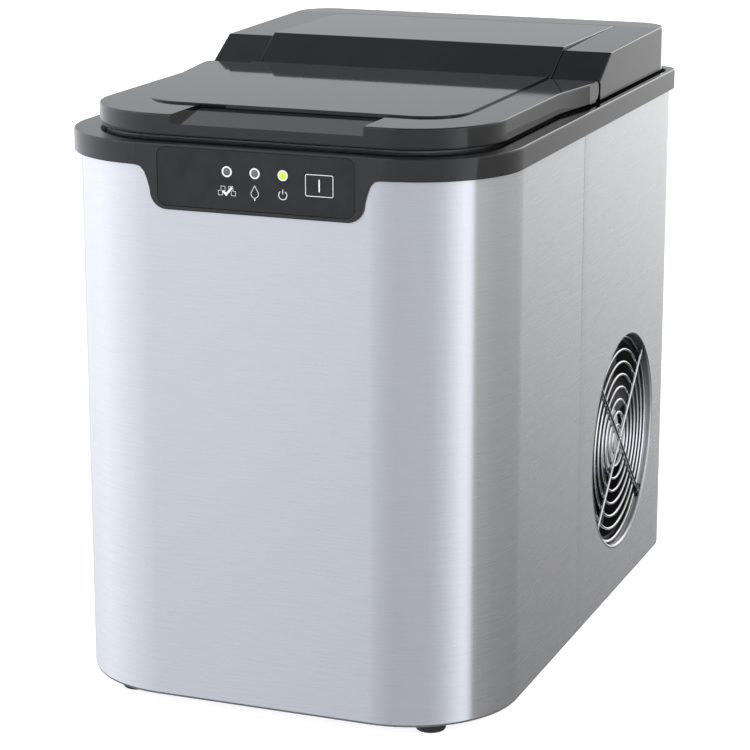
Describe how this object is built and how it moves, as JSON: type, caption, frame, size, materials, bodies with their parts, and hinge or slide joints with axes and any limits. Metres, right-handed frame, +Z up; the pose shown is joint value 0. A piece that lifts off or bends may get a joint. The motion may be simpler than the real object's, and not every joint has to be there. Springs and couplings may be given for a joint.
{
  "type": "countertop ice maker",
  "caption": "Countertop ice maker with a brushed steel case, gloss black top, hinged lid over a lift-out ice basket, tipping water tray and a side fan behind a wire guard.",
  "frame": {"origin": "centre of the bounding box's bottom face, on the surface the feet stand on", "axes": "+Z up, -Y towards the control panel at the front, +X towards the side with the round fan opening"},
  "size_m": [0.242, 0.358, 0.328],
  "materials": {
    "black_rubber": "moulded black rubber, matt",
    "grey_rubber": "soft grey silicone seal, satin",
    "plated_screw": "zinc plated steel, satin",
    "black_screw": "blackened steel, satin",
    "pan_steel": "powder coated sheet steel, dark grey, satin",
    "black_paint": "black enamel on pressed steel, semi gloss",
    "brushed_steel": "stainless steel with a fine horizontal brushed grain",
    "black_gloss": "gloss black moulded plastic",
    "window_gloss": "polished smoked black plastic",
    "label_film": "satin black printed film",
    "ring_white": "white moulded plastic",
    "led_lens": "clear moulded light pipe",
    "circuit_board": "green solder mask on glass fibre",
    "liner_white": "white moulded plastic, satin",
    "basket_plastic": "milky translucent plastic",
    "foam": "rigid polyurethane foam",
    "nickel_plate": "nickel plated brass and copper",
    "copper": "drawn copper tube, slightly dulled",
    "silicone": "milky silicone hose",
    "black_matte": "matt black moulded plastic",
    "fin_aluminium": "thin folded aluminium fin",
    "guard_wire": "bright plated steel wire"
  },
  "bodies": {
    "case": {"feet": "black_rubber", "foot_screws": "plated_screw", "base_pan": "pan_steel", "front_panel": "brushed_steel", "rear_panel": "brushed_steel", "top_rim": "black_gloss", "control_overlay": "label_film", "indicator_rings": "ring_white", "indicator_lenses": "led_lens", "control_board": "circuit_board", "rear_housing": "black_gloss", "housing_panel": "window_gloss", "inner_liner": "liner_white", "insulation": "foam", "evaporator": "nickel_plate", "ice_fingers": "nickel_plate", "evaporator_tube": "copper", "tray_carrier": "liner_white", "tray_motor": "black_matte", "ice_sensors": "black_matte", "level_probes": "plated_screw", "water_pump": "black_matte", "suction_hose": "silicone", "feed_hose": "silicone", "drain_spout": "liner_white", "compressor": "black_paint", "compressor_feet": "black_rubber", "compressor_studs": "plated_screw", "terminal_cover": "black_matte", "condenser_fins": "fin_aluminium", "condenser_tube": "copper", "fan_shroud": "pan_steel", "fan_frame": "black_matte", "guard_rings": "guard_wire", "guard_spokes": "guard_wire", "guard_clips": "black_matte", "fan_screws": "black_screw", "filter_drier": "copper", "solenoid_valve": "plated_screw", "discharge_pipe": "copper", "liquid_pipe": "copper", "suction_pipe": "copper", "board_tray": "liner_white", "power_board": "circuit_board", "power_gland": "black_rubber", "panel_screws": "plated_screw"},
    "lid": {"lid_frame": "black_gloss", "lid_window": "window_gloss", "lid_inner": "liner_white", "lid_seal": "grey_rubber", "hinge_pins": "plated_screw"},
    "basket": {"ice_basket": "basket_plastic"},
    "tray": {"water_tray": "basket_plastic", "ice_shovel": "basket_plastic"},
    "button": {"power_button": "label_film"},
    "fan": {"fan_rotor": "black_matte"},
    "impeller": {"pump_impeller": "liner_white"},
    "drain": {"drain_cap": "black_rubber"}
  },
  "joints": [
    {"name": "lid_hinge", "type": "hinge", "parent": "case", "child": "lid", "pos_m": [0, 0.02, 0.3093], "axis": [-1, 0, 0], "range_deg": [0, 94]},
    {"name": "basket_lift", "type": "slide", "parent": "case", "child": "basket", "axis": [0, 0, 1], "range_m": [0, 0.035]},
    {"name": "tray_tip", "type": "hinge", "parent": "case", "child": "tray", "pos_m": [0, 0.052, 0.222], "axis": [1, 0, 0], "range_deg": [0, 75]},
    {"name": "button_press", "type": "slide", "parent": "case", "child": "button", "axis": [0, 1, 0], "range_m": [0, 0.0008], "stiffness_N_per_m": 900},
    {"name": "fan_spin", "type": "hinge", "parent": "case", "child": "fan", "pos_m": [0.1, 0.078, 0.097], "axis": [1, 0, 0], "continuous": true},
    {"name": "impeller_spin", "type": "hinge", "parent": "case", "child": "impeller", "pos_m": [-0.086, 0.035, 0.13], "axis": [0, 1, 0], "continuous": true},
    {"name": "drain_cap_turn", "type": "hinge", "parent": "case", "child": "drain", "pos_m": [-0.04, -0.13, 0.004], "axis": [0, 0, 1], "range_deg": [0, 360]}
  ]
}
